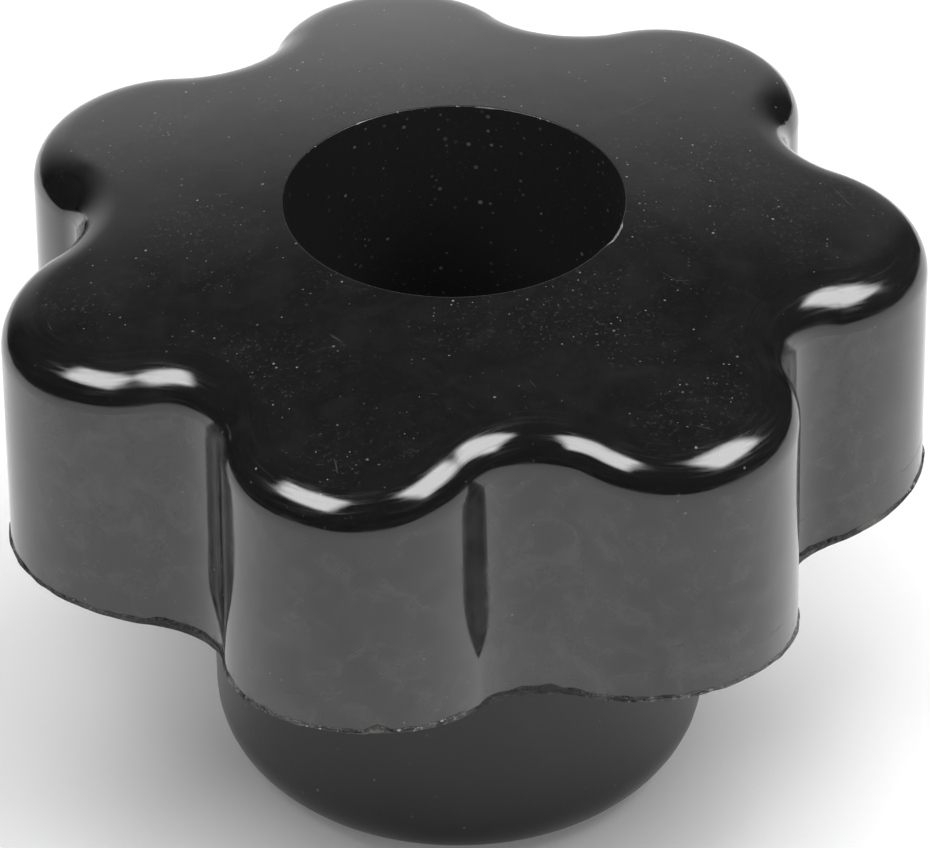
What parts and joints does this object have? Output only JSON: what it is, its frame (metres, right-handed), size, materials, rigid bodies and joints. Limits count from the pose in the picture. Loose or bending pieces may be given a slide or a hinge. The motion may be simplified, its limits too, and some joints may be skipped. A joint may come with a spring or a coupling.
{
  "type": "star knob",
  "caption": "Star knob with rounded lobes, a crowned top and a plain round hub below, bored right through along its axis.",
  "frame": {"origin": "on the axis of the bore, at the foot of the hub", "axes": "+Z along the bore, from the foot of the hub up to the crown; +X through the middle of one lobe"},
  "size_m": [0.0608, 0.0618, 0.0435],
  "materials": {
    "moulding": "glossy black moulded phenolic, with a trimmed flash line round the lower edge"
  },
  "bodies": {
    "root": {"star_knob": "moulding"}
  },
  "joints": []
}
